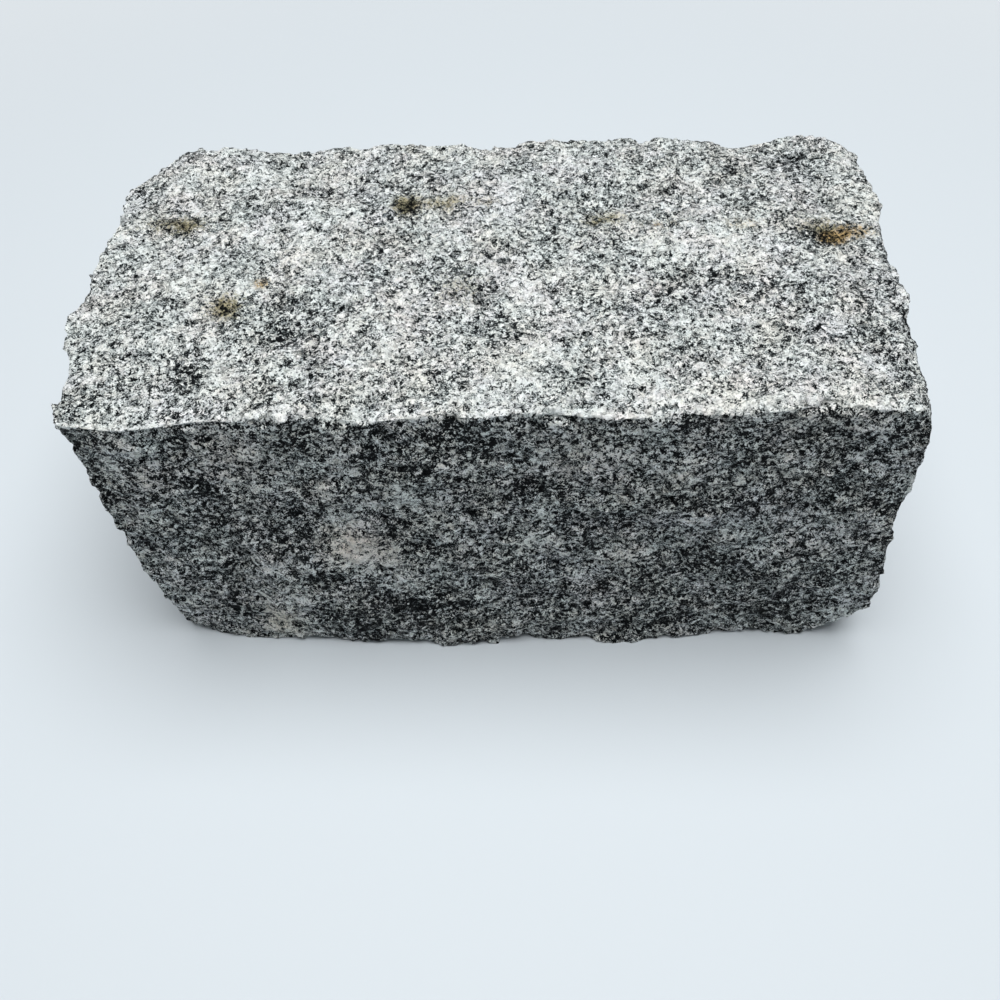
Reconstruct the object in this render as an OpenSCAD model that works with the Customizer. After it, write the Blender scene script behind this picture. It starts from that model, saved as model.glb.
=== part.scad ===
// Granite belgian block: one split paving sett of solid granite.
// X runs along its length, Y from the front face to the back face, Z up from the bed.

/* [Block] */
// Length between the two ends
length = 260; // [200:1:320]
// Width from the front face to the back face
width = 136; // [100:1:180]
// Height of the top above the bed at the right-hand end
height = 116.5; // [90:0.5:150]

/* [Out of square] */
// How much lower the top lies at the left-hand end
top_fall = 7; // [0:0.5:15]
// How far the left-hand end draws in from the top to the bed
left_draw = 14; // [0:0.5:25]
// How far the right-hand end draws in from the bed to the top
right_draw = 8; // [0:0.5:15]
// How far the front face draws in from the bed to the top
front_draw = 2; // [0:0.5:12]
// How far the back face draws in from the top to the bed
back_draw = 6; // [0:0.5:15]

/* [Split faces] */
// Height of the low waves that splitting leaves on every face
wave_height = 1.4; // [0:0.1:3]
// Distance from one wave to the next
wave_pitch = 78; // [50:1:120]

/* [Hidden] */

granite_grey = [0.60, 0.61, 0.61];

// Spacing of the surface grid
cell = 8;
// Depth of stone that the level bed takes off the rough underside
bed_waste = 6;

// Breaks at the corners and arrises: the side in X, Y and Z, how far the break
// runs from that corner along X, Y and Z, and how softly it turns
BREAKS = [
    [[-1, 1, 1], [20, 30, 190], 8],
    [[1, 1, 1], [9, 12, 90], 3],
    [[-1, -1, 1], [6, 40, 400], 4],
    [[1, -1, 1], [3, 36, 300], 3],
    [[1, -1, 1], [7, 22, 15], 3],
    [[1, -1, -1], [28, 60, 24], 4],
    [[-1, -1, -1], [36, 6, 26], 4],
    [[-1, 1, -1], [22, 30, 26], 4]
];

// Swellings (+) and hollows (-): the place as a share of the half sizes, the way
// that the stone stands out, the radius and the height
SWELLS = [
    [[-0.72, -1, 1], [0, -1, 3], 32, -3],
    [[-0.42, -1, 1], [0, -1, 2], 13, 2],
    [[-0.36, -1, 1], [0, -1, 1], 10, -3],
    [[0.66, -1, 1], [0, -1, 3], 18, 2.5],
    [[0.69, 1, 1], [0, 1, 1], 10, -3],
    [[0.86, 1, 1], [0, 1, 2], 36, -2.5],
    [[1, 0.65, 1], [1, 0, 0], 50, 4],
    [[-0.36, 1, 1], [0, 1, 1], 50, -2],
    [[-0.3, -1, -1], [0, -1, 0], 90, 4],
    [[0.3, -1, -1], [0, -1, 0], 40, 2.5],
    [[1, -1, -0.4], [1, -0.5, 0], 30, 3],
    [[1, -1, 0.55], [1, 0, 0], 24, 2],
    [[-1, 0.15, 1], [-1, 0, 0], 30, -2]
];

half = [length / 2, width / 2, height / 2];
nx = round(length / cell);
ny = round(width / cell);
nz = round(height / cell);
// Grid points around one level, and the first point inside the underside and the top
ring = 2 * (nx + ny);
inside = (nx - 1) * (ny - 1);
under_start = ring * (nz + 1);
top_start = under_start + inside;

// Value at the share t of the way from a to b
function mix(a, b, t) = a + (b - a) * t;

// Low wave over a face, from two of its coordinates and a turn of its own
function wave(a, b, turn) = wave_height * (
    0.65 * sin(360 * a / wave_pitch + turn) * cos(290 * b / wave_pitch + 2 * turn)
    + 0.35 * sin(540 * (b + a / 2) / wave_pitch + 3 * turn) * cos(430 * (a - b / 3) / wave_pitch + turn));

// The waves move a point square to each face that it lies on
function waves(p, side) = [
    side.x * wave(p.y, p.z, 40 + 50 * side.x),
    side.y * wave(p.x, p.z, 90 + 65 * side.y),
    side.z * wave(p.x, p.y, 200 + 30 * side.z)
];

// The move that one swell makes at a point: all of it at the centre, none past its radius
function swell(p, s) =
    let (centre = [s[0].x * half.x, s[0].y * half.y, s[0].z * half.z],
         reach = min(1, norm(p - centre) / s[2]),
         fade = 1 - reach * reach)
    s[3] * fade * fade * s[1] / norm(s[1]);

// The moves of all the swells added
function swells(p, i = 0) = i == len(SWELLS) ? [0, 0, 0] : swell(p, SWELLS[i]) + swells(p, i + 1);

// How far a point is cut back when it stands t past a break that turns over the distance r
function cut_back(t, r) = t < -r ? 0 : t > r ? t : (t + r) * (t + r) / (4 * r);

// A point of the square block moved back to the plane of one break
function broken(p, b) =
    let (corner = [b[0].x * half.x, b[0].y * half.y, b[0].z * half.z],
         slope = [b[0].x / b[1].x, b[0].y / b[1].y, b[0].z / b[1].z],
         past = (1 + slope * (p - corner)) / norm(slope))
    p - cut_back(past, b[2]) * slope / norm(slope);

// A point after all the breaks, one after the other
function dressed(p, i = 0) = i == len(BREAKS) ? p : dressed(broken(p, BREAKS[i]), i + 1);

// A point of the square block, which is centred on the origin, put out of square and on the bed
function leaned(p) =
    let (rise = (p.z / half.z + 1) / 2,
         left = -half.x + left_draw * (1 - rise),
         right = half.x - right_draw * rise,
         front = -half.y + front_draw * rise,
         back = half.y - back_draw * (1 - rise),
         top = height - top_fall * (1 - p.x / half.x) / 2)
    [mix(left, right, (p.x / half.x + 1) / 2),
     mix(front, back, (p.y / half.y + 1) / 2),
     mix(-bed_waste, top, rise)];

// Which side a grid line lies on: -1 on the first line, 1 on the last, 0 between them
function side_of(i, n) = i == 0 ? -1 : i == n ? 1 : 0;

// Point of the rough block at the grid place i, j, k
function stone(i, j, k) =
    let (square = [(2 * i / nx - 1) * half.x, (2 * j / ny - 1) * half.y, (2 * k / nz - 1) * half.z],
         rough = dressed(square))
    leaned(rough) + waves(rough, [side_of(i, nx), side_of(j, ny), side_of(k, nz)]) + swells(rough);

// Grid place of step s around a level, from the front left corner past the front right one
function around(s) =
    s < nx ? [s, 0]
    : s < nx + ny ? [nx, s - nx]
    : s < 2 * nx + ny ? [2 * nx + ny - s, ny]
    : [0, ring - s];

// Step around a level of the border place i, j
function step_of(i, j) =
    j == 0 ? i
    : i == nx ? nx + j
    : j == ny ? 2 * nx + ny - i
    : ring - j;

// Number of the point at place i, j of the underside (k = 0) or the top (k = nz)
function cap_point(i, j, k) =
    i == 0 || j == 0 || i == nx || j == ny
        ? ring * k + step_of(i, j) % ring
        : (k == 0 ? under_start : top_start) + (i - 1) + (j - 1) * (nx - 1);

// Two triangles for the four-sided cell a, b, c, d, listed clockwise from outside
function halves(a, b, c, d) = [[a, b, c], [a, c, d]];

stone_points = concat(
    [for (k = [0:nz]) for (s = [0:ring - 1]) stone(around(s)[0], around(s)[1], k)],
    [for (k = [0, nz]) for (j = [1:ny - 1]) for (i = [1:nx - 1]) stone(i, j, k)]
);

stone_faces = concat(
    [for (k = [0:nz - 1]) for (s = [0:ring - 1]) let (n = (s + 1) % ring)
        each halves(ring * k + s, ring * (k + 1) + s, ring * (k + 1) + n, ring * k + n)],
    [for (j = [0:ny - 1]) for (i = [0:nx - 1])
        each halves(cap_point(i, j, 0), cap_point(i + 1, j, 0),
                    cap_point(i + 1, j + 1, 0), cap_point(i, j + 1, 0))],
    [for (j = [0:ny - 1]) for (i = [0:nx - 1])
        each halves(cap_point(i, j, nz), cap_point(i, j + 1, nz),
                    cap_point(i + 1, j + 1, nz), cap_point(i + 1, j, nz))]
);

// Middle of the stone in plan, which the origin lies under
stone_x = [for (p = stone_points) p.x];
stone_y = [for (p = stone_points) p.y];
middle = [(min(stone_x) + max(stone_x)) / 2, (min(stone_y) + max(stone_y)) / 2];

// The block: its rough surface, cut off level at the bed
module granite_block() {
    color(granite_grey)
    intersection() {
        translate([-middle.x, -middle.y, 0])
            polyhedron(points = stone_points, faces = stone_faces, convexity = 4);
        translate([-length, -width, 0])
            cube([2 * length, 2 * width, 2 * height]);
    }
}

granite_block();
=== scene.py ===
"""Granite belgian block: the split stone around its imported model, on a pale studio floor.

The file is laid out as an add-on and is run as a script. Every size is in metres.
"""

from itertools import product
from math import radians
from types import SimpleNamespace

import bmesh
import bpy
import numpy as np
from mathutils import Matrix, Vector


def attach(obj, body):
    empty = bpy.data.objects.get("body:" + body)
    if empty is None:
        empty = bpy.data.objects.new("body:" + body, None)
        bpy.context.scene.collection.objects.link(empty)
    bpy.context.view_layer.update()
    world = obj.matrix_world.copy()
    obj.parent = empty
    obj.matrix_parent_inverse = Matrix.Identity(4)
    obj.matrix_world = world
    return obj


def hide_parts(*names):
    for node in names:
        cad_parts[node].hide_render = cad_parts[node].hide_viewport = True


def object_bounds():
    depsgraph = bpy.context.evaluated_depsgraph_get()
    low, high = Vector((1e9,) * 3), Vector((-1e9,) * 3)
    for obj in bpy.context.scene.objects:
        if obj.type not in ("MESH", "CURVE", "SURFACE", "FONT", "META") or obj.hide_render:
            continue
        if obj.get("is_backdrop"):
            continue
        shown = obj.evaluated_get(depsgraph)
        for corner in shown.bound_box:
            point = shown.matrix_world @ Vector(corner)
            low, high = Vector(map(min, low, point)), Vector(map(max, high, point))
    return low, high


bl_info = {
    "name": "Granite Belgian Block",
    "version": (1, 0, 0),
    "blender": (4, 5, 0),
    "location": "3D View > Sidebar > Granite Block",
    "description": "Builds a split granite paving block and the studio floor that it lies on",
    "category": "Object",
}

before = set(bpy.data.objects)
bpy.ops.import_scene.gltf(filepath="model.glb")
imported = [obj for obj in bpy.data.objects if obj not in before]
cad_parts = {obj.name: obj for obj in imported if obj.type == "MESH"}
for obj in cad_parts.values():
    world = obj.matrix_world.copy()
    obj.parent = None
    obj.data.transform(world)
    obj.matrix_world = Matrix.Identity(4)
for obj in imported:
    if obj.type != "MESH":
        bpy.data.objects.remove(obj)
CAD_LOW, CAD_HIGH = (np.array(corner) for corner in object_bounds())
CAD_SIZE = CAD_HIGH - CAD_LOW
CAD_MIDDLE = (CAD_LOW + CAD_HIGH) / 2
NODE = "granite_block"
BODY = "root"
MM = 0.001

# Two cells that meet at more than this angle keep a crisp line between them
SHARP_ANGLE = radians(38)

# The middle of a random colour, taken off it to give a random direction
HALVES = (0.5, 0.5, 0.5)

# Soft round marks on the top: the place along X and Y as a share of the half sizes,
# the reach along X and Y in millimetres, and the strength
RUST_ON_TOP = (
    (-0.57, -0.08, 2.5, 2.5, 0.9),
    (0.40, 0.28, 9, 3, 0.4),
    (0.60, 0.26, 7, 3, 0.4),
    (0.81, 0.16, 5, 3.5, 1.2),
    (0.87, 0.20, 7, 4, 0.7),
)
OLIVE_ON_TOP = (
    (-0.24, 0.46, 4.5, 5, 1.4),
    (-0.14, 0.48, 8, 4, 0.8),
    (-0.03, 0.46, 4, 3, 0.6),
    (-0.79, 0.34, 6, 5, 1.0),
    (-0.86, 0.36, 6, 4, 0.6),
    (-0.64, -0.24, 5, 6, 1.2),
    (0.26, 0.33, 8, 4, 0.8),
    (0.78, 0.24, 8, 5, 0.6),
    (-0.09, -0.14, 7, 7, 0.5),
)
PALE_ON_TOP = (
    (-0.42, 0.34, 8, 6, 0.7),
    (-0.50, 0.15, 12, 12, 0.8),
    (-0.76, -0.05, 8, 6, 0.7),
    (-0.24, -0.40, 8, 14, 0.6),
    (-0.50, -0.65, 8, 6, 0.6),
    (0.05, -0.12, 6, 11, 1.4),
    (0.06, -0.63, 4, 9, 1.6),
    (0.25, -0.18, 14, 8, 0.5),
    (0.37, -0.80, 14, 5, 0.8),
    (0.56, 0.07, 10, 6, 1.3),
    (0.68, 0.70, 7, 6, 1.0),
    (0.79, 0.42, 5, 9, 0.7),
)
DARK_ON_TOP = (
    (-0.23, 0.44, 4, 4, 4.0),
    (-0.16, 0.58, 4, 5, 0.9),
    (-0.80, 0.35, 10, 5, 0.9),
    (-0.38, 0.66, 5, 6, 0.6),
    (-0.25, 0.22, 8, 6, 0.6),
    (-0.12, 0.00, 4, 5, 1.2),
    (-0.07, -0.18, 7, 5, 0.9),
    (0.26, 0.28, 4, 5, 1.3),
    (0.42, -0.08, 6, 4, 0.8),
    (0.54, -0.12, 7, 5, 1.0),
    (0.77, 0.12, 8, 7, 0.9),
    (0.86, -0.30, 8, 16, 1.2),
    (0.83, -0.62, 10, 7, 0.6),
    (0.60, 0.68, 4, 8, 0.9),
    (0.83, 0.84, 7, 8, 0.8),
    (-0.63, -0.27, 5, 6, 0.3),
    (-0.46, -0.44, 13, 4, 1.1),
    (-0.68, -0.60, 5, 6, 0.6),
    (-0.93, -0.44, 6, 6, 0.8),
)

# Soft round marks on the front, along X and up Z
BUFF_ON_FRONT = (
    (-0.37, -0.02, 9, 8, 0.9),
    (-0.29, -0.12, 9, 8, 0.8),
    (-0.58, -0.80, 8, 9, 1.0),
    (-0.03, -0.82, 10, 7, 0.5),
    (0.20, 0.62, 8, 8, 0.4),
    (-0.61, 0.58, 9, 8, 0.4),
)
PALE_ON_FRONT = (
    (-0.38, 0.14, 5, 12, 1.4),
    (-0.35, 0.60, 6, 10, 1.2),
    (-0.26, 0.30, 5, 7, 0.9),
    (-0.29, -0.16, 12, 8, 0.9),
    (-0.58, 0.62, 8, 8, 0.7),
    (-0.58, -0.75, 6, 10, 1.1),
    (0.16, -0.03, 5, 14, 0.7),
    (0.27, 0.68, 8, 7, 1.3),
    (0.40, 0.55, 8, 12, 0.6),
    (0.64, 0.60, 5, 6, 0.9),
)
DARK_ON_FRONT = (
    (-0.67, 0.42, 5, 6, 1.3),
    (-0.27, 0.78, 6, 6, 1.0),
    (-0.18, 0.50, 5, 8, 0.9),
    (-0.06, -0.15, 8, 5, 1.1),
    (-0.42, -0.31, 6, 5, 1.2),
    (-0.21, -0.65, 9, 9, 1.3),
    (-0.38, -0.82, 12, 8, 1.4),
    (-0.69, -0.66, 5, 10, 0.8),
    (0.16, -0.78, 4, 5, 1.1),
    (0.44, -0.24, 6, 6, 0.9),
    (0.63, -0.42, 7, 5, 1.1),
    (0.70, -0.73, 14, 6, 2.2),
    (0.40, -0.84, 14, 4, 1.0),
    (0.16, 0.80, 7, 4, 0.8),
    (0.65, 0.78, 4, 4, 0.9),
)


# ---------------------------------------------------------------- sizes and colours


class GraniteSplitSettings(bpy.types.PropertyGroup):
    """Sizes of the broken surface."""

    spacing: bpy.props.FloatProperty(
        name="Surface spacing",
        description="Distance between neighbouring points of the surface",
        default=1.32 * MM, min=0.8 * MM, max=6 * MM, precision=5, subtype="DISTANCE", unit="LENGTH",
    )
    swell: bpy.props.FloatProperty(
        name="Swells",
        description="Height of the broad swells and hollows of a split face",
        default=0.6 * MM, min=0, max=4 * MM, precision=5, subtype="DISTANCE", unit="LENGTH",
    )
    step: bpy.props.FloatProperty(
        name="Steps",
        description="Height of the shallow broken planes that the split leaves",
        default=0.85 * MM, min=0, max=3 * MM, precision=5, subtype="DISTANCE", unit="LENGTH",
    )
    grain: bpy.props.FloatProperty(
        name="Grain relief",
        description="Height of the crystals that stand out of the split",
        default=0.5 * MM, min=0, max=1.5 * MM, precision=5, subtype="DISTANCE", unit="LENGTH",
    )
    chip: bpy.props.FloatProperty(
        name="Arris chips",
        description="Depth of the deepest small chips along the arrises",
        default=2.8 * MM, min=0, max=6 * MM, precision=5, subtype="DISTANCE", unit="LENGTH",
    )
    wander: bpy.props.FloatProperty(
        name="Arris wander",
        description="How far the arrises wander from their straight lines",
        default=1.82 * MM, min=0, max=5 * MM, precision=5, subtype="DISTANCE", unit="LENGTH",
    )


class GraniteColourSettings(bpy.types.PropertyGroup):
    """Sizes and colours of the minerals and the stains."""

    crystal: bpy.props.FloatProperty(
        name="Crystals",
        description="Size of the feldspar and quartz crystals",
        default=1.8 * MM, min=0.5 * MM, max=10 * MM, precision=5, subtype="DISTANCE", unit="LENGTH",
    )
    flake: bpy.props.FloatProperty(
        name="Flakes",
        description="Size of the mica flakes",
        default=0.75 * MM, min=0.3 * MM, max=5 * MM, precision=5, subtype="DISTANCE", unit="LENGTH",
    )
    plate: bpy.props.FloatProperty(
        name="Plates",
        description="Width of the thin plates of mica and of cleaved feldspar",
        default=2.4 * MM, min=0.5 * MM, max=10 * MM, precision=5, subtype="DISTANCE", unit="LENGTH",
    )
    feldspar: bpy.props.FloatVectorProperty(
        name="Feldspar", description="Colour of the pale crystals",
        default=(0.86, 0.87, 0.86), size=3, min=0, max=1, subtype="COLOR",
    )
    crushed: bpy.props.FloatVectorProperty(
        name="Crushed feldspar", description="Colour of the palest crystals, crushed by the split",
        default=(0.98, 0.985, 0.975), size=3, min=0, max=1, subtype="COLOR",
    )
    quartz: bpy.props.FloatVectorProperty(
        name="Quartz", description="Colour of the grey glassy crystals",
        default=(0.210, 0.235, 0.242), size=3, min=0, max=1, subtype="COLOR",
    )
    mica: bpy.props.FloatVectorProperty(
        name="Mica", description="Colour of the dark flakes",
        default=(0.004, 0.005, 0.006), size=3, min=0, max=1, subtype="COLOR",
    )
    rust: bpy.props.FloatVectorProperty(
        name="Rust tint", description="Tint of the ochre parts of the stains on the top",
        default=(0.64, 0.44, 0.22), size=3, min=0, max=1, subtype="COLOR",
    )
    olive: bpy.props.FloatVectorProperty(
        name="Olive tint", description="Tint of the olive parts of the stains on the top",
        default=(0.47, 0.41, 0.27), size=3, min=0, max=1, subtype="COLOR",
    )
    cool: bpy.props.FloatVectorProperty(
        name="Cool tint", description="Tint of the cooler crystals",
        default=(0.945, 0.988, 1.0), size=3, min=0, max=1, subtype="COLOR",
    )
    warm: bpy.props.FloatVectorProperty(
        name="Warm tint", description="Tint of the warmer crystals",
        default=(1.0, 0.983, 0.95), size=3, min=0, max=1, subtype="COLOR",
    )
    leafy: bpy.props.FloatVectorProperty(
        name="Green tint", description="Tint of the greener crystals",
        default=(0.982, 1.0, 0.982), size=3, min=0, max=1, subtype="COLOR",
    )
    rosy: bpy.props.FloatVectorProperty(
        name="Rose tint", description="Tint of the pinker crystals",
        default=(1.0, 0.978, 1.0), size=3, min=0, max=1, subtype="COLOR",
    )
    buff: bpy.props.FloatVectorProperty(
        name="Buff tint", description="Tint of the buff patches on the front",
        default=(1.0, 0.925, 0.86), size=3, min=0, max=1, subtype="COLOR",
    )


class GraniteStageSettings(bpy.types.PropertyGroup):
    """The floor, the backdrop, the softbox and the camera."""

    floor: bpy.props.FloatVectorProperty(
        name="Floor", description="Colour of the floor",
        default=(0.635, 0.69, 0.73), size=3, min=0, max=1, subtype="COLOR",
    )
    backdrop: bpy.props.FloatVectorProperty(
        name="Backdrop", description="Colour that the floor fades into away from the block",
        default=(0.83, 0.865, 0.895), size=3, min=0, max=1, subtype="COLOR",
    )
    clear: bpy.props.FloatProperty(
        name="Floor fade", description="Distance at which the floor has half faded into the backdrop",
        default=0.55, min=0.2, max=5, precision=3, subtype="DISTANCE", unit="LENGTH",
    )
    lamp: bpy.props.FloatProperty(
        name="Lamp power", description="Power of the overhead softbox",
        default=30.0, min=0, max=500, unit="POWER",
    )
    pitch: bpy.props.FloatProperty(
        name="Camera pitch", description="How far the camera looks down",
        default=radians(51.7), min=0, max=radians(90), subtype="ANGLE", unit="ROTATION",
    )
    height: bpy.props.FloatProperty(
        name="Camera height", description="Height of the camera above the floor",
        default=0.3136, min=0.1, max=3, precision=4, subtype="DISTANCE", unit="LENGTH",
    )
    reach: bpy.props.FloatProperty(
        name="Camera distance", description="Distance along the floor from the block's middle",
        default=0.252, min=0.05, max=3, precision=4, subtype="DISTANCE", unit="LENGTH",
    )
    lens: bpy.props.FloatProperty(
        name="Lens", description="Focal length in millimetres on a square sensor 36 mm wide",
        default=36.0, min=10, max=200,
    )


# ---------------------------------------------------------------- the surface grid


def lattice(counts):
    """Points, in whole grid steps, and four-sided cells over the whole surface of a box.

    Each of the six faces is a grid of two parameters with the third held at its first or
    last step, and the points that two faces share are merged.
    """
    points, cells, base = [], [], 0
    for axis, last in product(range(3), (False, True)):
        along, across = (axis + 1) % 3, (axis + 2) % 3
        s, t = np.meshgrid(np.arange(counts[along] + 1), np.arange(counts[across] + 1), indexing="ij")
        grid = np.zeros(s.shape + (3,), int)
        grid[..., along], grid[..., across] = s, t
        grid[..., axis] = counts[axis] if last else 0
        number = base + np.arange(s.size).reshape(s.shape)
        ring = [number[:-1, :-1], number[1:, :-1], number[1:, 1:], number[:-1, 1:]]
        cells.append(np.stack(ring if last else ring[::-1], axis=-1).reshape(-1, 4))
        points.append(grid.reshape(-1, 3))
        base += s.size
    steps, merged = np.unique(np.concatenate(points), axis=0, return_inverse=True)
    return steps, merged.reshape(-1)[np.concatenate(cells)]


def between_corners(shares, corners):
    """Each point is the mean of a block's eight corners, weighted by its share along each axis."""
    place = np.zeros_like(shares)
    for sides, corner in corners:
        weights = np.where(np.array(sides) > 0, shares, 1 - shares)
        place += np.prod(weights, axis=1)[:, None] * corner
    return place


def neighbours(cells):
    """The two ends of every line of the grid, each line once."""
    lines = np.concatenate([cells[:, [k, (k + 1) % 4]] for k in range(4)])
    return np.unique(np.sort(lines, axis=1), axis=0).T


def eased(values, lines, rounds, free=1.0):
    """Each round moves a value half of the way to its neighbours' mean, times how free it is."""
    first, second = lines
    count = len(values)
    valence = np.bincount(first, minlength=count) + np.bincount(second, minlength=count)
    free = np.broadcast_to(free, count)
    values = values.copy()
    for _ in range(rounds):
        for column in values.reshape(count, -1).T:
            total = np.bincount(first, column[second], count) + np.bincount(second, column[first], count)
            column += 0.5 * free * (total / valence - column)
    return values


def outward(points, cells):
    """At each point, the mean of the unit normals of the cells around it.

    A cell's normal is the cross product of its diagonals, made one long.
    """
    a, b, c, d = (points[cells[:, k]] for k in range(4))
    normal = np.cross(c - a, d - b)
    normal /= np.linalg.norm(normal, axis=1)[:, None] + 1e-12
    total = np.zeros_like(points)
    for k in range(4):
        for axis in range(3):
            total[:, axis] += np.bincount(cells[:, k], normal[:, axis], len(points))
    return total / (np.linalg.norm(total, axis=1)[:, None] + 1e-12)


# ---------------------------------------------------------------- noise over the stone

# Turn of the noise grids, so that their rows don't follow the block's faces
TURN = np.array([[0.36, 0.48, -0.80], [-0.80, 0.60, 0.0], [0.48, 0.64, 0.60]])


def scatter(place, seed):
    """A random share from 0 to 1 for each whole grid place.

    The coordinates are multiplied by large primes, and their bits are mixed three times.
    """
    x, y, z = place.T
    mixed = (x * 73856093 ^ y * 19349663 ^ z * 83492791 ^ seed * 2654435761) & 0xFFFFFFFF
    for shift, factor in ((16, 0x45D9F3B), (15, 0x2C1B3C6D), (16, 0x297A2D39)):
        mixed = ((mixed ^ (mixed >> shift)) * factor) & 0xFFFFFFFF
    return (mixed >> 8) / float(1 << 24)


def grid_place(points, size, seed):
    """Where each point lies on a turned grid of that size, and the whole part of it."""
    turned = points @ TURN.T / size + seed * 17.13
    return turned, np.floor(turned).astype(np.int64)


def rough(points, size, seed):
    """Gradient noise from about -1 to 1 with one swing for each size.

    Every corner of a grid has its own slope; a point adds up its eight corners' slopes times
    the distance from each, faded by 6t^5 - 15t^4 + 10t^3 along every axis.
    """
    turned, base = grid_place(points, size, seed)
    part = turned - base
    fade = part ** 3 * (part * (part * 6 - 15) + 10)
    total = np.zeros(len(points))
    for corner in product((0, 1), repeat=3):
        slope = np.stack([scatter(base + corner, seed * 3 + k) * 2 - 1 for k in range(3)], axis=1)
        weight = np.prod(np.where(corner, fade, 1 - fade), axis=1)
        total += weight * np.sum(slope * (part - corner), axis=1)
    return total * 1.6


def broken_planes(points, size, seed):
    """Flat facets of about that size, and each facet's own random share.

    The centres are the corners of a grid, each moved at random within its cell. A point takes
    the share of its nearest centre, less a half, plus a random slope times the distance from it.
    """
    turned, base = grid_place(points, size, seed)
    nearest = np.full(len(points), np.inf)
    height, share = np.zeros(len(points)), np.zeros(len(points))
    for corner in product((-1, 0, 1), repeat=3):
        place = base + corner
        away = turned - place - np.stack([scatter(place, seed * 7 + k) for k in range(3)], axis=1)
        reach = np.sum(away ** 2, axis=1)
        own = scatter(place, seed * 7 + 3)
        slope = np.stack([scatter(place, seed * 7 + 4 + k) * 2 - 1 for k in range(3)], axis=1)
        nearer = reach < nearest
        height = np.where(nearer, own - 0.5 + np.sum(slope * away, axis=1), height)
        share = np.where(nearer, own, share)
        nearest = np.where(nearer, reach, nearest)
    return height, share


def stepped(values, low, high):
    """0 below low and 1 above high, with a smooth step 3t^2 - 2t^3 between them."""
    t = np.clip((values - low) / (high - low), 0, 1)
    return t * t * (3 - 2 * t)


def marked(points, across, facing, marks):
    """The sum of soft round marks on one face: strength times e to the minus the squared distance.

    A mark's distance is counted in its own reaches along X and along the face's other axis.
    """
    half = CAD_SIZE / 2
    share = (points - CAD_MIDDLE) / half
    total = np.zeros(len(points))
    for x, other, reach_x, reach_other, strength in marks:
        off = ((share[:, 0] - x) * half[0] / (reach_x * MM)) ** 2
        off += ((share[:, across] - other) * half[across] / (reach_other * MM)) ** 2
        total += strength * np.exp(-off)
    return total * facing


# ---------------------------------------------------------------- the split stone


def wrap_target():
    """A merged, smooth-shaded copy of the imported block, whose own triangles are loose."""
    work = bmesh.new()
    work.from_mesh(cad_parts[NODE].data)
    bmesh.ops.remove_doubles(work, verts=work.verts, dist=0.01 * MM)
    for face in work.faces:
        face.smooth = True
    mesh = bpy.data.meshes.new("wrap_target")
    work.to_mesh(mesh)
    work.free()
    target = bpy.data.objects.new("wrap_target", mesh)
    bpy.context.scene.collection.objects.link(target)
    return target


def wrapped(points, cells, target):
    """The points moved onto the nearest place of the target's surface by a Shrinkwrap."""
    mesh = bpy.data.meshes.new("trial")
    mesh.from_pydata(points.tolist(), [], cells.tolist())
    trial = bpy.data.objects.new("trial", mesh)
    bpy.context.scene.collection.objects.link(trial)
    wrap = trial.modifiers.new("wrap", "SHRINKWRAP")
    wrap.target = target
    wrap.wrap_method = "NEAREST_SURFACEPOINT"
    found = trial.evaluated_get(bpy.context.evaluated_depsgraph_get()).data
    flat = np.empty(len(points) * 3)
    found.vertices.foreach_get("co", flat)
    bpy.data.objects.remove(trial)
    bpy.data.meshes.remove(mesh)
    return flat.reshape(-1, 3)


def outer_corners(target):
    """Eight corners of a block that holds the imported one.

    Each has the furthest X and Y of the lower or the upper part, and the height of the packed
    block's furthest point towards that corner of its box.
    """
    flat = np.empty(len(target.data.vertices) * 3)
    target.data.vertices.foreach_get("co", flat)
    place = flat.reshape(-1, 3)
    shares = (place - CAD_MIDDLE) / (CAD_SIZE / 2)
    corners = []
    for sides in product((-1, 1), repeat=3):
        part = place[shares[:, 2] * sides[2] > 0.4]
        corner = np.where(np.array(sides) > 0, part.max(axis=0), part.min(axis=0))
        corner[2] = place[np.argmax(shares @ sides), 2]
        corners.append((sides, corner))
    return corners


def wrapped_grid(spacing):
    """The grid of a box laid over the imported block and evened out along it: points, cells and lines."""
    counts = np.round(CAD_SIZE / spacing).astype(int)
    steps, cells = lattice(counts)
    lines = neighbours(cells)
    target = wrap_target()
    points = wrapped(between_corners(steps / counts, outer_corners(target)), cells, target)
    on_edge = np.sum((steps == 0) | (steps == counts), axis=1) > 1
    for _ in range(3):
        points = wrapped(eased(points, lines, 8, np.where(on_edge, 0.0, 1.0)), cells, target)
    bpy.data.objects.remove(target)
    return points, cells, lines


def arrises(points, cells, lines):
    """How near an arris each point is, from 0 to 1, and the way that it faces.

    Where the normals around a point spread widely, as they do at an arris, their mean is short.
    """
    mean_normal = eased(outward(points, cells), lines, 14)
    length = np.linalg.norm(mean_normal, axis=1)
    return np.clip((1 - length) / 0.22, 0, 1), mean_normal / length[:, None]


def wandering(points, arris, settings):
    """The points near an arris, each shifted by its own smooth noise along X, Y and Z."""
    shift = np.stack([rough(points, 15 * MM, seed) for seed in (11, 12, 13)], axis=1)
    return points + settings.wander * (arris ** 2)[:, None] * shift


def relief(points, arris, settings):
    """Height of the split face over the smooth one, and how hollow it is.

    The height is a sum of smooth swells, flat broken planes and crystals, each from noise of two
    sizes, and a little calmer near an arris. The hollows are what the planes and crystals leave.
    """
    swell = rough(points, 34 * MM, 1) + 0.5 * rough(points, 17 * MM, 2)
    step = broken_planes(points, 12 * MM, 3)[0] + 0.6 * broken_planes(points, 6 * MM, 4)[0]
    grain = broken_planes(points, 3.4 * MM, 5)[0] + 0.6 * rough(points, 2.7 * MM, 6)
    calm = 1 - 0.25 * arris
    height = settings.swell * swell + calm * (settings.step * step + settings.grain * grain)
    return height, -(step + grain)


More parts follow.
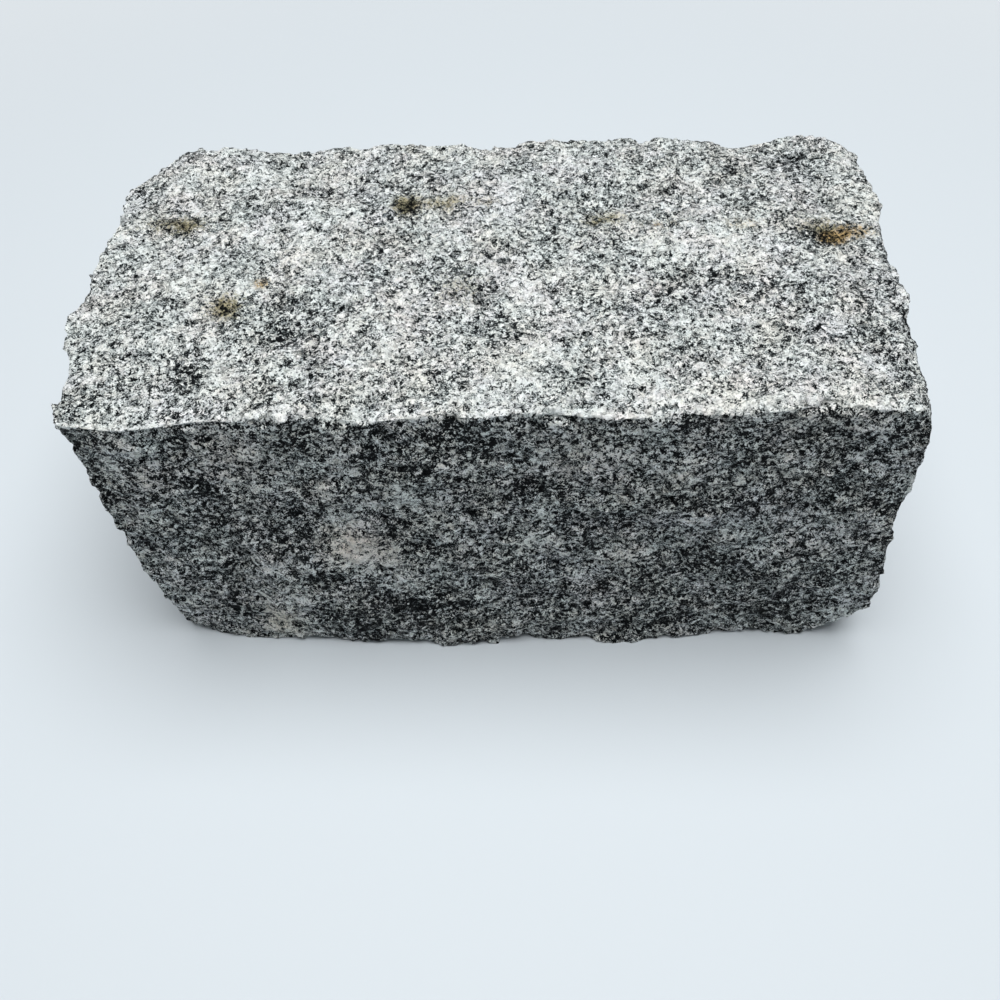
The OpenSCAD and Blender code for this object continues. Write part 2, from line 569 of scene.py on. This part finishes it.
def chips(points, arris, facing, settings):
    """Depth of the chips: facets near an arris sink by a random share, and more on upright arrises."""
    bite = np.zeros(len(points))
    for size, seed, depth in ((16 * MM, 7, 0.7), (8 * MM, 8, 0.5), (4 * MM, 9, 0.4)):
        height, share = broken_planes(points, size, seed)
        bite += depth * np.clip((share - 0.5) / 0.5 + 0.4 * height, 0, 1)
    upright = 1 - stepped(np.abs(facing[:, 2]), 0.3, 0.6)
    return settings.chip * np.maximum(bite - 0.2, -0.1) * arris ** 2 * (0.95 + 0.65 * upright)


def stone_attributes(points, arris, facing, hollow):
    """What the material reads at each point: its face, its arris and the marks on it."""
    # This mask also makes the top paler and the sides darker in the material: partly wear, partly painted
    # light and shade
    top = stepped(facing[:, 2], 0.45, 0.85)
    front = stepped(-facing[:, 1], 0.45, 0.85)
    # The front arris of the top is crushed white, more in some places than in others
    crushed = arris ** 2 * top * stepped(-points[:, 1] / CAD_SIZE[1], 0.40, 0.47)
    crushed *= stepped(rough(points, 9 * MM, 10), -0.9, 0.2)
    return {
        # How hollow each point is, which the material darkens as painted shade
        "hollow": hollow,
        "top": top,
        "crushed": crushed,
        "rust": marked(points, 1, top, RUST_ON_TOP),
        "olive": marked(points, 1, top, OLIVE_ON_TOP),
        "buff": marked(points, 2, front, BUFF_ON_FRONT),
        "tone": (marked(points, 1, top, PALE_ON_TOP) - marked(points, 1, top, DARK_ON_TOP)
                 + marked(points, 2, front, PALE_ON_FRONT) - marked(points, 2, front, DARK_ON_FRONT)),
    }


def split_surface(settings):
    """Points and cells of the split stone, and its attributes for the material."""
    points, cells, lines = wrapped_grid(settings.spacing)
    arris, facing = arrises(points, cells, lines)

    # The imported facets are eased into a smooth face, away from the arrises
    points = eased(points, lines, 40, (1 - arris) ** 2)
    points = wandering(points, arris, settings)
    height, hollow = relief(points, arris, settings)

    # The underside's relief only reaches up from the bed
    height -= stepped(-facing[:, 2], 0.5, 0.9) * np.quantile(height, 0.97)
    height -= chips(points, arris, facing, settings)
    points = points + facing * height[:, None]
    points[:, 2] = np.maximum(points[:, 2], CAD_LOW[2])
    return points, cells, stone_attributes(points, arris, facing, hollow)


def stone_mesh(name, points, cells, attributes):
    """A smooth-shaded mesh from whole arrays, with one number at each point for each attribute."""
    mesh = bpy.data.meshes.new(name)
    mesh.vertices.add(len(points))
    mesh.vertices.foreach_set("co", points.astype(np.float32).ravel())
    mesh.loops.add(cells.size)
    mesh.loops.foreach_set("vertex_index", cells.astype(np.int32).ravel())
    mesh.polygons.add(len(cells))
    mesh.polygons.foreach_set("loop_start", np.arange(0, cells.size, 4, dtype=np.int32))
    mesh.polygons.foreach_set("use_smooth", np.ones(len(cells), bool))
    mesh.update(calc_edges=True)
    mesh.validate()
    mesh.set_sharp_from_angle(angle=SHARP_ANGLE)
    for label, values in attributes.items():
        mesh.attributes.new(label, "FLOAT", "POINT").data.foreach_set("value", values.astype(np.float32))
    return mesh


# ---------------------------------------------------------------- the material


def add(tree, kind, inputs, **settings):
    """A new node with its settings, and its inputs linked from sockets or set to values."""
    node = tree.nodes.new("ShaderNode" + kind)
    for name, value in settings.items():
        setattr(node, name, value)
    for key, value in inputs.items():
        if isinstance(value, bpy.types.NodeSocket):
            tree.links.new(value, node.inputs[key])
        else:
            node.inputs[key].default_value = value
    return node


def attribute(tree, name):
    """The number that the mesh holds at each point under that name."""
    return add(tree, "Attribute", {}, attribute_name=name).outputs["Fac"]


def maths(tree, operation, *values):
    """One sum, product or comparison of sockets and numbers."""
    return add(tree, "Math", dict(enumerate(values)), operation=operation).outputs[0]


def vectors(tree, operation, *values):
    """One sum, product or length of vector sockets and vectors."""
    node = add(tree, "VectorMath", dict(enumerate(values)), operation=operation)
    return node.outputs["Value" if operation in ("DOT_PRODUCT", "LENGTH") else "Vector"]


def random_shares(tree, colour):
    """The three numbers of a random colour."""
    return add(tree, "SeparateColor", {"Color": colour}).outputs


def noise(tree, place, scale, detail, roughness=0.65):
    """Smooth noise, with that many swings to each unit of the place."""
    settings = {"Vector": place, "Scale": scale, "Detail": detail, "Roughness": roughness}
    return add(tree, "TexNoise", settings).outputs


def random_cells(tree, place, scale, feature="F1"):
    """Random cells, with that many along each unit of the place."""
    return add(tree, "TexVoronoi", {"Vector": place, "Scale": scale}, feature=feature).outputs


def weighted(tree, start, terms):
    """start plus each socket's difference from its middle value, times its weight."""
    total = start - sum(weight * middle for _, middle, weight in terms)
    for socket, _, weight in terms:
        total = maths(tree, "MULTIPLY_ADD", socket, weight, total)
    return total


def smooth(tree, socket, low, high):
    """0 below low, 1 above high, with a smooth step between them."""
    settings = {"Value": socket, "From Min": low, "From Max": high}
    return add(tree, "MapRange", settings, interpolation_type="SMOOTHSTEP").outputs["Result"]


def ramp(tree, socket, stops):
    """The colour at each tone, blended straight between the stops."""
    node = add(tree, "ValToRGB", {"Fac": socket})
    elements = node.color_ramp.elements
    while len(elements) < len(stops):
        elements.new(0.5)
    for element, (position, colour) in zip(elements, stops):
        element.position = position
        element.color = (*colour, 1)
    return node.outputs["Color"]


def seen(tree):
    """1 for what is seen straight, in a reflection or through glass, and 0 for what lights the scene."""
    rays = add(tree, "LightPath", {}).outputs
    seen_in_glass = maths(tree, "MAXIMUM", rays["Is Glossy Ray"], rays["Is Transmission Ray"])
    return maths(tree, "MAXIMUM", rays["Is Camera Ray"], seen_in_glass)


def tinted(tree, factor, first, second, blend="MIX"):
    """Two colours mixed by a factor."""
    node = add(tree, "Mix", {0: factor, 6: first, 7: second}, data_type="RGBA", blend_type=blend,
               clamp_factor=True)
    return node.outputs[2]


def thin_plates(tree, torn, width):
    """How much of a thin plate there is at each place, and the random numbers of its cell.

    Each cell has one plate through its middle, turned its own way and ending short of the cell's
    sides: a place is in it where its distance along the plate's axis is small.
    """
    cell = random_cells(tree, torn, MM / width)
    axis = vectors(tree, "NORMALIZE", vectors(tree, "SUBTRACT", cell["Color"], HALVES))
    off_plane = vectors(tree, "DOT_PRODUCT", vectors(tree, "SUBTRACT", torn, cell["Position"]), axis)
    thin = smooth(tree, maths(tree, "ABSOLUTE", off_plane), 0.36, 0.10)
    plate = maths(tree, "MULTIPLY", thin, smooth(tree, cell["Distance"], 0.55, 0.40))
    return plate, random_shares(tree, cell["Color"])


def granite_grain(tree, colours):
    """The patterns of the stone on Object coordinates, under the names of what they stand for."""
    grain = SimpleNamespace()

    # Millimetres, turned, with the crystals drawn out a little along one slanting direction
    place = add(tree, "TexCoord", {}).outputs["Object"]
    drawn_out = (0.95 * MM, 0.95 * MM, 0.85 * MM)
    grid = add(tree, "Mapping", {"Vector": place, "Rotation": (0.1, -0.3, 0.55), "Scale": drawn_out},
               vector_type="TEXTURE").outputs[0]

    # Noise tears the cells' straight sides
    nudge = vectors(tree, "SUBTRACT", noise(tree, grid, 0.9, 2.0, 0.6)["Color"], HALVES)
    torn = vectors(tree, "MULTIPLY_ADD", nudge, (1.9, 1.9, 1.9), grid)

    grain.crystal = random_cells(tree, torn, MM / colours.crystal)["Color"]
    seam = random_cells(tree, torn, MM / colours.crystal, "DISTANCE_TO_EDGE")["Distance"]
    grain.in_seam = smooth(tree, seam, 0.20, 0.02)
    grain.flake = random_cells(tree, torn, MM / colours.flake)["Color"]
    # Cells of about 3 mm: raised lumps in the bump, with painted shade between them in the colour
    grain.lump = random_cells(tree, torn, 0.33)["Distance"]
    grain.plate, grain.plate_shares = thin_plates(tree, torn, colours.plate)
    grain.crystal_shares = random_shares(tree, grain.crystal)
    grain.flake_shares = random_shares(tree, grain.flake)

    # Noise with features of about 1.4 mm, 0.5 mm, 4 mm and 20 mm
    grain.fine = noise(tree, grid, 0.70, 3.0)["Fac"]
    grain.finer = noise(tree, grid, 2.1, 2.0)["Fac"]
    grain.cluster = noise(tree, grid, 0.24, 2.0)["Fac"]
    grain.patch = noise(tree, grid, 0.05, 1.0)["Fac"]
    grain.warm_shares = random_shares(tree, noise(tree, grid, 0.055, 4.0)["Color"])
    return grain


def mica_share(tree, grain, marks):
    """How much mica there is: where the noise is low, mostly in the seams, and in dark plates."""
    place = weighted(tree, 0.5, (
        (grain.fine, 0.5, 1.0),
        (grain.finer, 0.5, 0.35),
        (grain.cluster, 0.5, 0.30),
        (grain.patch, 0.5, 0.15),
        (grain.in_seam, 0.3, -0.06),
        (marks["tone"], 0.0, 0.015),
        # The top gets a little less mica: part of the paler top, partly painted light
        (marks["top"], 1.0, 0.03),
        (marks["buff"], 0.0, 0.03),
        (marks["crushed"], 0.0, 0.15),
    ))
    # The dark plates gather where the clusters of mica are
    gathered = weighted(tree, 0.5, ((grain.plate_shares[0], 0.5, 1.0), (grain.cluster, 0.5, 1.0)))
    dark_plate = maths(tree, "MULTIPLY", grain.plate, smooth(tree, gathered, 0.36, 0.30))
    return maths(tree, "MAXIMUM", smooth(tree, place, 0.45, 0.395), dark_plate)


def mineral_tone(tree, grain, marks):
    """From dark mica to crushed feldspar: a weighted sum of random cells, noise, plates and marks.

    The plates of some cells are bright slivers on cleaved feldspar: painted glints of light.
    """
    # Painted highlights: bright slivers of cleaved feldspar, lit up in the colour as glints of light
    painted_glint_plate = maths(tree, "MULTIPLY", grain.plate, smooth(tree, grain.plate_shares[0], 0.70, 0.76))
    tone = weighted(tree, 0.64, (
        (grain.crystal_shares[0], 0.5, 0.50),
        (grain.flake_shares[0], 0.5, 0.40),
        (grain.finer, 0.5, 2.0),
        (grain.fine, 0.5, 0.55),
        (grain.cluster, 0.5, 0.66),
        (grain.patch, 0.5, 0.45),
        (mica_share(tree, grain, marks), 0.25, -0.50),
        (painted_glint_plate, 0.05, 0.45),
        # Painted light and shade: the top is paler and the sides darker, partly the bruised top, partly
        # standing in for the shade that falls on the sides
        (marks["top"], 1.0, 0.22),
        (marks["crushed"], 0.0, 0.80),
        (marks["tone"], 0.0, 0.15),
        (marks["buff"], 0.0, 0.10),
        # Painted shade: the hollows of the relief are darkened in the colour
        (marks["hollow"], 0.0, -0.06),
        # Painted shade: the crevices between the raised lumps of the bump are darkened in the colour
        (grain.lump, 0.45, -0.25),
    ))
    # The sides get more contrast than the top: partly the fresher split, partly painted shade that deepens
    # the darks of the sides
    spread = maths(tree, "MULTIPLY_ADD", marks["top"], -0.33, 1.15)
    middle = 0.47
    return maths(tree, "MULTIPLY_ADD", maths(tree, "SUBTRACT", tone, middle), spread, middle)


def mineral_colour(tree, grain, marks, tone, colours):
    """The minerals' colours along the tone, tinted warm, cool, green, rose and buff, then stained."""
    # The palest stop is reached by the crushed arris and by the painted glints of the bright plates
    mineral = ramp(tree, tone, (
        (0.24, colours.mica),
        (0.45, colours.quartz),
        (0.76, colours.feldspar),
        (1.0, colours.crushed),
    ))
    warmer = weighted(tree, 0.34, ((grain.warm_shares[1], 0.5, 3.2), (grain.crystal_shares[1], 0.5, 0.5)))
    greener = weighted(tree, 0.70, ((grain.warm_shares[2], 0.5, 4.0), (grain.flake_shares[1], 0.5, 0.8)))
    for share, first, second in ((warmer, (*colours.cool, 1), (*colours.warm, 1)),
                                 (greener, (*colours.rosy, 1), (*colours.leafy, 1)),
                                 (marks["buff"], (1, 1, 1, 1), (*colours.buff, 1))):
        mineral = tinted(tree, 1.0, mineral, tinted(tree, share, first, second), blend="MULTIPLY")

    # The stains soak some crystals more than others, and are ochre where there is more rust
    stained = smooth(tree, weighted(tree, 0.0, (
        (marks["rust"], 0.0, 1.0),
        (marks["olive"], 0.0, 1.0),
        (grain.fine, 0.5, 1.6),
        (grain.flake_shares[1], 0.5, 0.4),
    )), 0.10, 1.10)
    ochre = smooth(tree, maths(tree, "SUBTRACT", marks["rust"], marks["olive"]), 0.0, 0.5)
    stain = tinted(tree, ochre, (*colours.olive, 1), (*colours.rust, 1))
    return tinted(tree, stained, mineral, stain, blend="MULTIPLY")


def broken_normal(tree, grain, tone):
    """The bumped normal, leaned a random way in each flake and, half as much, in each crystal."""
    height = weighted(tree, 0.5, (
        (tone, 0.5, 0.15),
        (grain.fine, 0.5, 0.40),
        (grain.finer, 0.5, 0.50),
        (grain.lump, 0.45, -0.80),
    ))
    normal = add(tree, "Bump", {"Height": height, "Strength": 0.9, "Distance": 1.1 * MM}).outputs["Normal"]
    for random, size in ((grain.flake, 1.0), (grain.crystal, 0.5)):
        lean = vectors(tree, "SUBTRACT", random, HALVES)
        normal = vectors(tree, "MULTIPLY_ADD", lean, (size, size, size), normal)
    return vectors(tree, "NORMALIZE", normal)


def split_granite(colours):
    """Split granite: crystals of feldspar and quartz, with mica flakes and thin plates among them.

    The patterns and the marks give each place a tone from dark to pale, and the tone gives its
    colour, its gloss and its bump.
    """
    material = bpy.data.materials.new("split_granite")
    material.use_nodes = True
    tree = material.node_tree
    shader = tree.nodes["Principled BSDF"]

    grain = granite_grain(tree, colours)
    names = ("top", "crushed", "tone", "buff", "hollow", "rust", "olive")
    marks = {name: attribute(tree, name) for name in names}
    tone = mineral_tone(tree, grain, marks)
    colour = mineral_colour(tree, grain, marks, tone, colours)

    # Mica is glossier than the broken feldspar
    dull = smooth(tree, tone, 0.24, 0.45)
    roughness = weighted(tree, 0.42, ((dull, 0.0, 0.30), (grain.crystal_shares[2], 0.5, 0.25)))

    shader.inputs["Specular IOR Level"].default_value = 0.04
    tree.links.new(colour, shader.inputs["Base Color"])
    tree.links.new(roughness, shader.inputs["Roughness"])
    tree.links.new(broken_normal(tree, grain, tone), shader.inputs["Normal"])
    return material


# ---------------------------------------------------------------- the stage


def pale_floor(settings):
    """Floor paint that turns clear away from the block, but only for what is seen."""
    paint = bpy.data.materials.new("pale_floor")
    paint.use_nodes = True
    tree = paint.node_tree
    shader = tree.nodes["Principled BSDF"]
    shader.inputs["Base Color"].default_value = (*settings.floor, 1)
    shader.inputs["Roughness"].default_value = 0.7
    away = vectors(tree, "LENGTH", add(tree, "TexCoord", {}).outputs["Object"])
    far = smooth(tree, away, 0.5 * settings.clear, 1.5 * settings.clear)
    nothing = add(tree, "BsdfTransparent", {}).outputs[0]
    fade = add(tree, "MixShader", {
        0: maths(tree, "MULTIPLY", far, seen(tree)), 1: shader.outputs[0], 2: nothing,
    })
    tree.links.new(fade.outputs[0], tree.nodes["Material Output"].inputs["Surface"])
    return paint


def studio_floor(settings):
    """A square floor under the bed of the block."""
    half = 6.0
    mesh = bpy.data.meshes.new("studio_floor")
    corners = [(-half, -half, 0), (half, -half, 0), (half, half, 0), (-half, half, 0)]
    mesh.from_pydata(corners, [], [(0, 1, 2, 3)])
    mesh.materials.append(pale_floor(settings))
    floor = bpy.data.objects.new("studio_floor", mesh)
    floor.location.z = CAD_LOW[2]
    return floor


def softbox(settings):
    """A wide disk almost overhead, turned to the block, which leaves the sides in soft shade."""
    lamp = bpy.data.lights.new("softbox", "AREA")
    lamp.shape = "DISK"
    lamp.size = 1.5
    lamp.energy = settings.lamp
    holder = bpy.data.objects.new("softbox", lamp)
    holder.location = (0.05, 0.0, 1.5)
    holder.rotation_euler = (holder.location - Vector(CAD_MIDDLE)).to_track_quat("Z", "Y").to_euler()
    return holder


def studio_air(settings):
    """A dim light from all sides, behind which the pale backdrop is seen."""
    world = bpy.data.worlds.new("studio_air")
    world.use_nodes = True
    air = world.node_tree
    dim = air.nodes["Background"]
    dim.inputs["Color"].default_value = (0.95, 0.98, 1.0, 1)
    dim.inputs["Strength"].default_value = 0.10
    backdrop = add(air, "Background", {"Color": (*settings.backdrop, 1)}).outputs[0]
    mixed = add(air, "MixShader", {0: seen(air), 1: dim.outputs[0], 2: backdrop}).outputs[0]
    air.links.new(mixed, air.nodes["World Output"].inputs["Surface"])
    return world


def studio_camera(settings):
    """A camera in front of the block, looking down at it."""
    lens = bpy.data.cameras.new("camera")
    lens.sensor_width = 36.0
    lens.lens = settings.lens
    camera = bpy.data.objects.new("camera", lens)
    camera.location = (CAD_MIDDLE[0], CAD_MIDDLE[1] - settings.reach, CAD_LOW[2] + settings.height)
    camera.rotation_euler = (radians(90) - settings.pitch, 0, 0)
    return camera


# ---------------------------------------------------------------- operators


class OBJECT_OT_split_granite_block(bpy.types.Operator):
    """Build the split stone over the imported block"""

    bl_idname = "object.split_granite_block"
    bl_label = "Split Granite Block"

    def execute(self, context):
        scene = context.scene
        points, cells, attributes = split_surface(scene.granite_split)
        mesh = stone_mesh("split_granite", points, cells, attributes)
        mesh.materials.append(split_granite(scene.granite_colours))
        stone = bpy.data.objects.new("split_granite", mesh)
        scene.collection.objects.link(stone)
        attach(stone, BODY)
        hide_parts(NODE)
        return {"FINISHED"}


class SCENE_OT_granite_stage(bpy.types.Operator):
    """Build the floor, the backdrop, the softbox and the camera"""

    bl_idname = "scene.granite_stage"
    bl_label = "Granite Stage"

    def execute(self, context):
        scene = context.scene
        settings = scene.granite_stage
        floor, camera = studio_floor(settings), studio_camera(settings)
        for thing in (floor, softbox(settings), camera):
            scene.collection.objects.link(thing)
        floor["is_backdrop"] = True
        scene.world = studio_air(settings)
        scene.camera = camera
        scene.view_settings.view_transform = "Standard"
        return {"FINISHED"}


class VIEW3D_PT_granite_block(bpy.types.Panel):
    """Sizes and colours of the block, with the buttons that build it"""

    bl_label = "Granite Block"
    bl_space_type = "VIEW_3D"
    bl_region_type = "UI"
    bl_category = "Granite Block"

    def draw(self, context):
        scene = context.scene
        for title, settings, button in (
            ("Split faces", scene.granite_split, "object.split_granite_block"),
            ("Minerals", scene.granite_colours, None),
            ("Stage", scene.granite_stage, "scene.granite_stage"),
        ):
            box = self.layout.box()
            box.label(text=title)
            for name in settings.__annotations__:
                box.prop(settings, name)
            if button:
                box.operator(button)


GROUPS = {
    "granite_split": GraniteSplitSettings,
    "granite_colours": GraniteColourSettings,
    "granite_stage": GraniteStageSettings,
}
CLASSES = (*GROUPS.values(), OBJECT_OT_split_granite_block, SCENE_OT_granite_stage, VIEW3D_PT_granite_block)


def register():
    for cls in CLASSES:
        bpy.utils.register_class(cls)
    for name, group in GROUPS.items():
        setattr(bpy.types.Scene, name, bpy.props.PointerProperty(type=group))


def unregister():
    for name in GROUPS:
        delattr(bpy.types.Scene, name)
    for cls in reversed(CLASSES):
        bpy.utils.unregister_class(cls)


def main():
    """Builds everything in order."""
    register()
    bpy.ops.object.split_granite_block()
    bpy.ops.scene.granite_stage()


if __name__ == "__main__":
    main()
